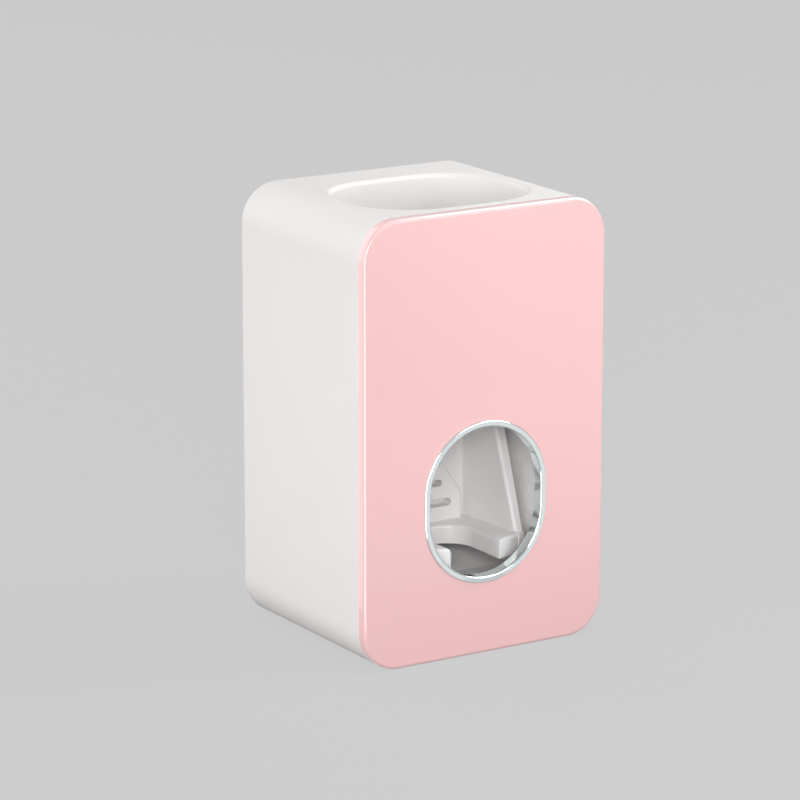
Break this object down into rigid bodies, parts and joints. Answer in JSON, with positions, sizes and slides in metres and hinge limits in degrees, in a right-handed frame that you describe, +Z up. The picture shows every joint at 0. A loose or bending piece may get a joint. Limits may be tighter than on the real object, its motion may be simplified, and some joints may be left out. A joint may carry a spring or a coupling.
{
  "type": "toothpaste dispenser",
  "caption": "Rounded-box toothpaste dispenser: an oval well holds the tube upside down, and a brush put in the front window pushes a sprung lever that works a silicone pump.",
  "frame": {"origin": "centre of the footprint on the surface that the dispenser stands on", "axes": "+Z up, -Y towards the front panel, +X to the right as seen from the front"},
  "size_m": [0.081, 0.0694, 0.13],
  "materials": {
    "white_shell": "fine satin moulding, white ABS",
    "pink_panel": "gloss, pale pink",
    "plated_ring": "bright plated",
    "white_inner": "satin, white ABS",
    "natural_plastic": "natural polypropylene",
    "silicone": "translucent white silicone",
    "screw_steel": "zinc plated steel",
    "spring_steel": "bright spring steel"
  },
  "bodies": {
    "housing": {"housing_shell": "white_shell", "front_panel": "pink_panel", "window_ring": "plated_ring", "ring_retainer": "spring_steel", "inner_frame": "white_inner", "frame_screws": "screw_steel", "lever_pin": "screw_steel", "pin_clips": "spring_steel", "return_spring": "spring_steel", "pump_body": "natural_plastic", "pump_screws": "screw_steel", "inlet_seal": "silicone", "inlet_valve": "silicone", "pump_bellows": "silicone", "bellows_ring": "natural_plastic", "outlet_cap": "white_inner", "outlet_valve": "silicone", "tube_cradle": "white_inner"},
    "lever": {"push_lever": "white_inner"},
    "plunger": {"pump_plunger": "white_inner"}
  },
  "joints": [
    {"name": "lever_hinge", "type": "hinge", "parent": "housing", "child": "lever", "pos_m": [0, 0.006, 0.069], "axis": [1, 0, 0], "range_deg": [0, 12], "stiffness_Nm_per_rad": 0.5, "springref_deg": -5.73, "deforming": ["return_spring", "pump_bellows"]},
    {"name": "plunger_slide", "type": "slide", "parent": "housing", "child": "plunger", "axis": [0, -1, 0], "range_m": [0, 0.004], "deforming": ["pump_bellows"]}
  ],
  "couplings": [
    {"joint": "plunger_slide", "follows": "lever_hinge", "m_per_rad": 0.0189}
  ]
}
